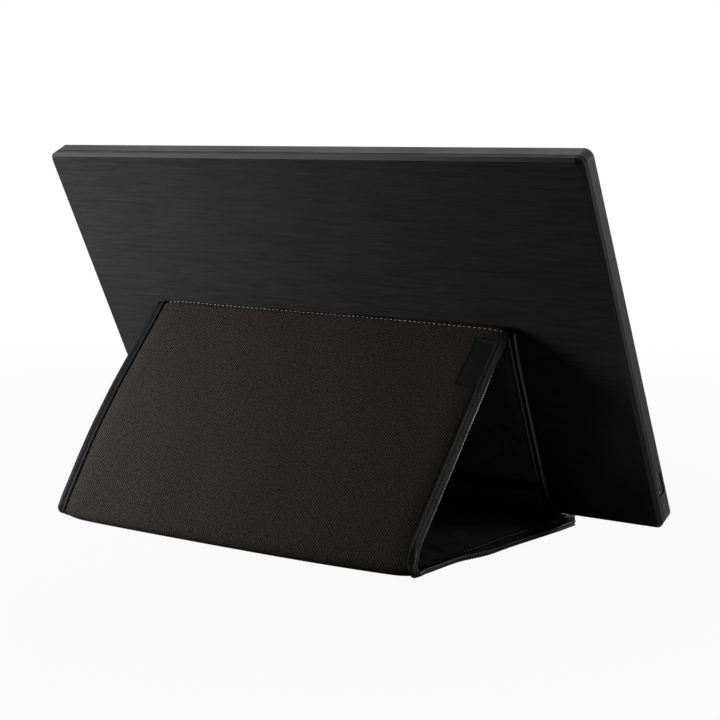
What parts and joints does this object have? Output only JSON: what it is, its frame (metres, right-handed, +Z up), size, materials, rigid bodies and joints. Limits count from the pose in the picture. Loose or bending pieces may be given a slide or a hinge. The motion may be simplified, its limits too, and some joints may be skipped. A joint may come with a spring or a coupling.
{
  "type": "portable monitor with folding stand cover",
  "caption": "Slim portable monitor leaning on its own fabric sleeve, which is folded into a triangular stand with a closing flap as the lip under the screen.",
  "frame": {"origin": "on the table, in the middle of the footprint: halfway across the monitor, and halfway between the base's tip and the near fold", "axes": "+X along the monitor's width, +Y behind the screen, +Z up; the screen faces -Y"},
  "size_m": [0.382, 0.1674, 0.2221],
  "materials": {
    "twill": "matte",
    "lining": "satin",
    "binding": "satin",
    "stiffener": "matte",
    "closure_tape": "matte",
    "label": "satin",
    "brushed_back": "satin",
    "bezel_plastic": "satin",
    "foam": "matte",
    "screen_glass": "gloss",
    "white_plastic": "matte",
    "film": "satin",
    "light_guide": "gloss",
    "lamps": "satin",
    "tray_metal": "satin",
    "insulation": "satin",
    "circuit_board": "satin",
    "chip": "matte",
    "plated_steel": "satin",
    "ribbon": "satin",
    "switch": "satin",
    "light_window": "gloss",
    "button_plastic": "satin"
  },
  "bodies": {
    "base": {"base_outer": "twill", "base_board": "stiffener", "base_lining": "lining", "base_binding": "binding", "base_tape": "closure_tape", "near_fold_fabric": "twill", "near_fold_binding": "binding"},
    "front_panel": {"front_outer": "twill", "front_board": "stiffener", "front_lining": "lining", "front_binding": "binding", "label_patch": "label", "ridge_fold_fabric": "twill", "ridge_fold_binding": "binding"},
    "rear_panel": {"rear_outer": "twill", "rear_board": "stiffener", "rear_lining": "lining", "rear_binding": "binding"},
    "flap": {"flap_outer": "twill", "flap_lining": "lining", "flap_binding": "binding", "flap_tape": "closure_tape"},
    "monitor": {"rear_cover": "brushed_back", "front_bezel": "bezel_plastic", "screen_gasket": "foam", "display_glass": "screen_glass", "panel_frame": "white_plastic", "optical_films": "film", "light_guide": "light_guide", "reflector_sheet": "film", "lamp_strip": "lamps", "panel_tray": "tray_metal", "insulating_sheet": "insulation", "main_board": "circuit_board", "board_chips": "chip", "shield_can": "plated_steel", "side_socket": "plated_steel", "socket_tongue": "chip", "timing_board": "circuit_board", "ribbon_cable": "ribbon", "button_board": "circuit_board", "push_switches": "switch", "board_screws": "plated_steel", "support_pads": "foam", "light_window": "light_window"},
    "power_key": {"power_button": "button_plastic"},
    "menu_key": {"menu_button": "button_plastic"},
    "up_key": {"up_button": "button_plastic"},
    "down_key": {"down_button": "button_plastic"}
  },
  "joints": [
    {"name": "near_fold", "type": "hinge", "parent": "base", "child": "front_panel", "pos_m": [0, 0.0797, 0.004], "axis": [-1, 0, 0], "range_deg": [0, 127], "deforming": ["near_fold_fabric", "near_fold_binding"]},
    {"name": "ridge_fold", "type": "hinge", "parent": "front_panel", "child": "rear_panel", "pos_m": [0, -0.00826, 0.117], "axis": [1, 0, 0], "range_deg": [0, 59.6], "deforming": ["ridge_fold_fabric", "ridge_fold_binding"]},
    {"name": "flap_fold", "type": "hinge", "parent": "rear_panel", "child": "flap", "pos_m": [0, -0.05891, 0.006], "axis": [1, 0, 0], "range_deg": [0, 67.6], "deforming": ["flap_outer", "flap_lining", "flap_binding", "flap_tape"]},
    {"name": "monitor_lift", "type": "slide", "parent": "base", "child": "monitor", "axis": [0, 0.4462, 0.8949], "range_m": [0, 0.14]},
    {"name": "power_press", "type": "slide", "parent": "monitor", "child": "power_key", "axis": [0, 0.8949, -0.4462], "range_m": [0, 0.0004], "stiffness_N_per_m": 300, "springref_m": -0.0005},
    {"name": "menu_press", "type": "slide", "parent": "monitor", "child": "menu_key", "axis": [0, 0.8949, -0.4462], "range_m": [0, 0.0004], "stiffness_N_per_m": 300, "springref_m": -0.0005},
    {"name": "up_press", "type": "slide", "parent": "monitor", "child": "up_key", "axis": [0, 0.8949, -0.4462], "range_m": [0, 0.0004], "stiffness_N_per_m": 300, "springref_m": -0.0005},
    {"name": "down_press", "type": "slide", "parent": "monitor", "child": "down_key", "axis": [0, 0.8949, -0.4462], "range_m": [0, 0.0004], "stiffness_N_per_m": 300, "springref_m": -0.0005}
  ],
  "couplings": [
    {"joint": "ridge_fold", "follows": "near_fold", "ratio": 0.4685},
    {"joint": "flap_fold", "follows": "near_fold", "ratio": 0.5315}
  ]
}
